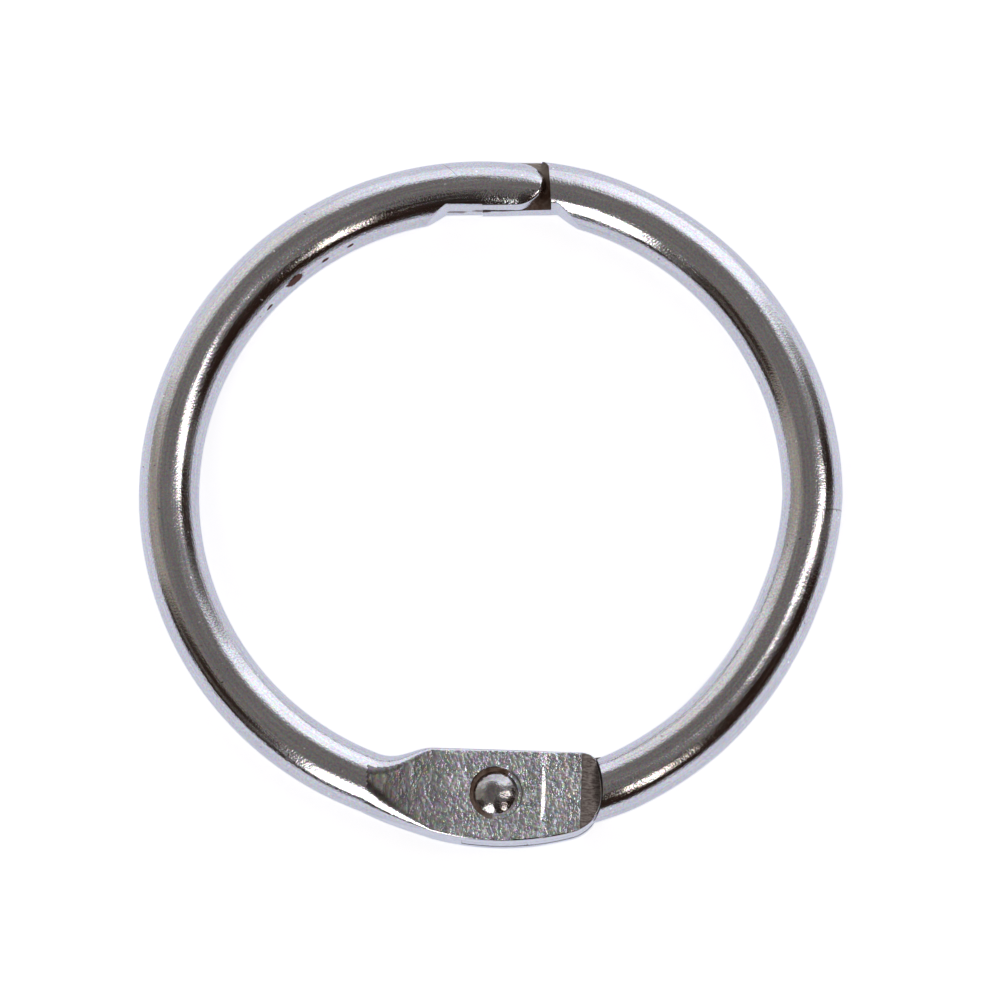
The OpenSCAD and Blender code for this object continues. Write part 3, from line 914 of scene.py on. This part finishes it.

# %% [markdown]
# ## The sheared laps
# The laps were sheared. They are coloured dark brown as painted shade of the narrow gap between them,
# with a torn grain and a paler rim at the outside that is painted light. One brown all over would look
# like paint, so wide patches set the colour and a fine tear the gloss. The tear is drawn at 0.1 mm,
# coarser than it is, so that it shows.

# %% Sheared laps
lap_finish, t = new_material("sheared_steel_lap")
place = place_mm(t)
# painted shade: dark brown patches over the laps stand for the shade in the gap between them, and the
# same patches dent the surface
dent_and_shade_patches = add_node(t, "TexNoise", {"Vector": place, "Scale": 1 / 0.55, "Detail": 3.0, "Roughness": 0.6})
tear = add_node(t, "TexNoise", {"Vector": place, "Scale": 1 / 0.1, "Detail": 1.0})
normal = bumped(t, [(dent_and_shade_patches, 0.05), (tear, 0.012)])
lighter_patches = add_node(t, "MapRange", [dent_and_shade_patches, 0.4, 0.66])
tone = add_node(t, "Mix", {MASK: lighter_patches, BASE: "#6A5143", OVER: "#9A877B"},
                data_type="RGBA").outputs[BLEND]
# painted light: a paler rim on the outer edge of the laps, where it catches the light
painted_rim_light = add_node(t, "MapRange", [reach_mm(t, place), 17.75, 18.35])
tone = add_node(t, "Mix", {MASK: painted_rim_light, BASE: tone, OVER: "#C4B9B0"},
                data_type="RGBA").outputs[BLEND]
rough = add_node(t, "MapRange", [tear, 0.3, 0.7, 0.4, 0.55])
finish_metal(lap_finish, t, tone, rough, normal)

# %% [markdown]
# ## The headed rivet
# A plated steel rivet was headed over by a hard tool. Its dome is bright, with shallow dents about
# 0.4 mm wide that bend the reflections. Without them it would look like a glass bead. The fine
# grain of the tool is drawn at 0.09 mm, coarser than it is, because it would not show otherwise.

# %% Headed rivet
rivet_finish, t = new_material("headed_nickel_rivet")
place = place_mm(t)
dents = add_node(t, "TexNoise", {"Vector": place, "Scale": 1 / 0.4, "Detail": 1.0})
grain = add_node(t, "TexNoise", {"Vector": place, "Scale": 1 / 0.09, "Detail": 1.0})
normal = bumped(t, [(dents, 0.03), (grain, 0.008)])
raised = add_node(t, "MapRange", [dents, 0.35, 0.65])
tone = add_node(t, "Mix", {MASK: raised, BASE: "#A5A2A3", OVER: "#BDBABA"},
                data_type="RGBA").outputs[BLEND]
rough = add_node(t, "MapRange", [grain, 0.3, 0.7, 0.13, 0.22])
finish_metal(rivet_finish, t, tinted(t, tone, grain, 0.8), rough, normal)

# %% [markdown]
# ## Where each finish goes
# On the real ring each tool left its own surface, so a face takes its finish from the tool that
# made it. The finishes could be painted on by hand, but every tool's face is known by its place
# and the way it faces, and a rule for each is short and comes out the same every time.

# %% Faces made by each tool
WIRE, CHEEK, LAPS, NOSE = range(4)
CREASE_X, CREASE_WIDE = STEP_X + 0.04, 0.2    # a bright streak of plated wire beside the step


def finish_of_faces(o):
    """The finish that each face of a half takes, as a number."""
    faces = o.data.polygons
    mid, nor = np.zeros(len(faces) * 3), np.zeros(len(faces) * 3)
    faces.foreach_get("center", mid)
    faces.foreach_get("normal", nor)
    mid, nor = mid.reshape(-1, 3) / MM, nor.reshape(-1, 3)
    x, y, off_mid, level = mid[:, 0], mid[:, 1], abs(mid[:, 2] - MID_Z), abs(nor[:, 2])
    closure, hinge = y > 14, y < -10
    inside_wire = np.hypot(y - BEND_Y - RING_R, off_mid) < 1.55
    kind = np.full(len(faces), WIRE)
    kind[closure & (level > 0.97) & (off_mid < 0.1)] = LAPS
    kind[closure & (abs(nor[:, 0]) > 0.9) & (x > -0.6) & (x < 3.4) & inside_wire] = LAPS
    kind[(np.hypot(x - PIP_AT[0], y - PIP_AT[1]) < 0.6) & (off_mid < 0.3)] = LAPS
    kind[hinge & (level > 0.97) & (off_mid < 0.6)] = NOSE
    if o is fork_half:
        local = mid[:, :2] - PIVOT
        lx = local[:, 0] * math.cos(-TILT) - local[:, 1] * math.sin(-TILT)
        ly = local[:, 0] * math.sin(-TILT) + local[:, 1] * math.cos(-TILT)
        flat = (lx > -7) & hinge & (level > 0.93) & (off_mid > 0.7)
        kind[flat] = CHEEK
        kind[flat & (lx > NOSE_X)] = NOSE
        streak = CREASE_WIDE * np.sqrt(np.maximum(0, 1 - ((ly - 0.05) / 1.5) ** 2))
        kind[flat & (lx > CREASE_X) & (lx < CREASE_X + streak)] = WIRE
        seat_ring = (np.hypot(*local.T) < SEAT_R + 0.02) & (off_mid < FORK_HALF - 0.05)
        kind[seat_ring & (local @ (0.94, -0.34) < 0.25)] = LAPS    # its left side takes the dark lap colour as painted shade of the seat's wall
    return kind


for o in (fork_half, tongue_half):
    o.data.materials.clear()
    for finish in (wire_finish, cheek_finish, lap_finish, nose_finish):
        o.data.materials.append(finish)
    kind = finish_of_faces(o)
    o.data.polygons.foreach_set("material_index", kind)
    print(o.name, "faces of wire, cheek, laps and nose:", np.bincount(kind, minlength=4))
rivet.data.materials.clear()
rivet.data.materials.append(rivet_finish)

# %% [markdown]
# ## What each piece moves with
# The two halves turn against each other, and the rivet is clenched in the forked half. Each
# piece rides on its body and stands for the plain solid of the same name, which is hidden.

# %% Bodies, solids and slots
for o, body, node, slot in ((fork_half, "forked_side", "fork_half", "fork_half_plate"),
                            (tongue_half, "tongued_side", "tongue_half", "tongue_half_plate"),
                            (rivet, "forked_side", "rivet", "rivet_plate")):
    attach(o, body)
    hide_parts(node)
    print(o.name, "rides on", body)

# %% [markdown]
# ## The floor
# The ring lies on a white paper sweep. A lamp strong enough to make paper white would burn out the
# metal. So the paper is a soft grey that glows a little, but only to the camera and in mirrors,
# and it keeps the ring's shadow.

# %% Floor
SWEEP = 1.5                           # half its width, in metres
me = bpy.data.meshes.new("sweep")
me.from_pydata([(-SWEEP, -SWEEP, 0), (SWEEP, -SWEEP, 0), (SWEEP, SWEEP, 0), (-SWEEP, SWEEP, 0)],
               [], [(0, 1, 2, 3)])
floor = bpy.data.objects.new("sweep", me)
bpy.context.scene.collection.objects.link(floor)
paper_finish, t = new_material("white_paper_sweep")
path = add_node(t, "LightPath")
mirrored = path.outputs["Is Glossy Ray"]
seen = add_node(t, "Math", [mirrored, 0.85, path.outputs["Is Camera Ray"]], operation="MULTIPLY_ADD")
glow_tone = add_node(t, "Mix", {MASK: mirrored, BASE: "#DADADA", OVER: "#C2C9DC"}, data_type="RGBA")
glow = add_node(t, "Emission", {"Strength": seen, "Color": glow_tone.outputs[BLEND]})
paper = add_node(t, "BsdfDiffuse", {"Color": "#DDDDE0"})
both = add_node(t, "AddShader", [paper, glow])
add_node(t, "OutputMaterial", {"Surface": both})
me.materials.append(paper_finish)
print("paper sweep", 2 * SWEEP, "m wide")

# %% [markdown]
# ## The studio
# Bright metal has no colour of its own to show: all that the eye gets is what it mirrors. Lamps
# and cards stood round the ring would do, but each would need placing in metres. Here the
# studio is a dome, and each soft box, wall or dark flag is a soft-edged patch of it, placed by
# compass and by its angle from straight up. Later ones lie over earlier ones.

# %% Panels of the dome
# name, compass angle from +X, angle from straight up, half widths of both, softness, colour, strength
PANELS = [
    ("white walls low down", 0, 130, 400, 45, 10, "#E6E8F4", 1.0),
    ("west wall, beige", 172, 64, 40, 20, 12, "#A59F96", 1.2),
    ("north-west white", 126, 72, 24, 23, 9, "#E4E4E6", 1.2),
    ("north-east white", 62, 68, 20, 30, 9, "#EDF1FA", 1.7),
    ("north white, low", 93, 80, 17, 30, 6, "#E9ECF8", 1.4),
    ("dark rail south-west", 222, 82, 36, 7, 3, "#2B1D16", 1.0),
    ("dark flag south-west", 205, 60, 18, 14, 9, "#33261F", 1.0),
    ("dark flag south", 281, 58, 21, 27, 4, "#2A1C16", 1.0),
    ("dark arm overhead", 278, 26, 11, 27, 6, "#312A27", 1.0),
    ("soft box south-west", 245.5, 57, 12.5, 17, 2.5, "#FFFFFF", 4.0),
    ("glow round the strip", 12, 30, 22, 20, 14, "#A4A2A5", 1.0),
    ("dark flag east", 322, 60, 38, 24, 8, "#2E1F18", 1.0),
    ("dark flag north-east", 17, 66, 10, 19, 7, "#2E2019", 1.0),
    ("soft box south-east", 307, 48, 4, 9, 3, "#FFF6EC", 4.5),
    ("strip light east", 11, 33, 7.5, 15, 3, "#FFFAF7", 3.6),
]
print(len(PANELS), "panels round the ring")

# %% Dome
world = bpy.data.worlds.new("studio")
bpy.context.scene.world = world
world.use_nodes = True
t = world.node_tree
t.nodes.clear()
ray = add_node(t, "TexCoord").outputs["Generated"]
split_ray = add_node(t, "SeparateXYZ", [ray])
from_top = add_node(t, "Math", [split_ray.outputs["Z"]], operation="ARCCOSINE")
colour = "#7F7B79"
for name, compass, down_to, wide, tall, soft, hexc, strength in PANELS:
    c = math.radians(compass)
    x = add_node(t, "VectorMath", [ray, (math.cos(c), math.sin(c), 0)], operation="DOT_PRODUCT")
    y = add_node(t, "VectorMath", [ray, (-math.sin(c), math.cos(c), 0)], operation="DOT_PRODUCT")
    bearing = add_node(t, "Math", [y.outputs["Value"], x.outputs["Value"]], operation="ARCTAN2")
    masks = []
    for value, middle, half in ((bearing, 0, wide), (from_top, down_to, tall)):
        off = add_node(t, "Math", [value, math.radians(middle)], operation="SUBTRACT")
        off = add_node(t, "Math", [off], operation="ABSOLUTE")
        masks.append(add_node(t, "MapRange", [off, math.radians(half + soft), math.radians(half - soft)],
                              interpolation_type="SMOOTHSTEP"))
    mask = add_node(t, "Math", masks, operation="MULTIPLY")
    lit = tuple(strength * v for v in lin(hexc)[:3]) + (1.0,)
    colour = add_node(t, "Mix", {MASK: mask, BASE: colour, OVER: lit}, data_type="RGBA").outputs[BLEND]
back = add_node(t, "Background", {"Color": colour})
white = add_node(t, "Background", {"Color": (1, 1, 1, 1)})
path = add_node(t, "LightPath")
pick = add_node(t, "MixShader", [path.outputs["Is Camera Ray"], back, white])
add_node(t, "OutputWorld", {"Surface": pick})
print("dome:", len(t.nodes), "nodes")

# %% [markdown]
# ## The camera
# The ring is seen almost from above, a little from the side of the hinge. A near camera with a
# short lens would make the near side look bigger, so a long lens looks from 0.6 m away.

# %% Camera
ELEVATION = math.radians(78)
DISTANCE = 0.6                        # metres
AIM = Vector((0.000502, 0.00007, 0.00165))

back_dir = Vector((0, -math.cos(ELEVATION), math.sin(ELEVATION)))
cam_data = bpy.data.cameras.new("camera")
cam_data.sensor_width, cam_data.lens = 36, 396
cam_data.clip_start, cam_data.clip_end = 0.01, 10
camera = bpy.data.objects.new("camera", cam_data)
bpy.context.scene.collection.objects.link(camera)
camera.location = AIM + back_dir * DISTANCE
camera.rotation_mode = "QUATERNION"
camera.rotation_quaternion = (-back_dir).to_track_quat("-Z", "Y")
bpy.context.scene.camera = camera
bpy.context.scene.view_settings.view_transform = "Standard"
print("the view is", round(DISTANCE / MM * cam_data.sensor_width / cam_data.lens, 1), "mm wide")
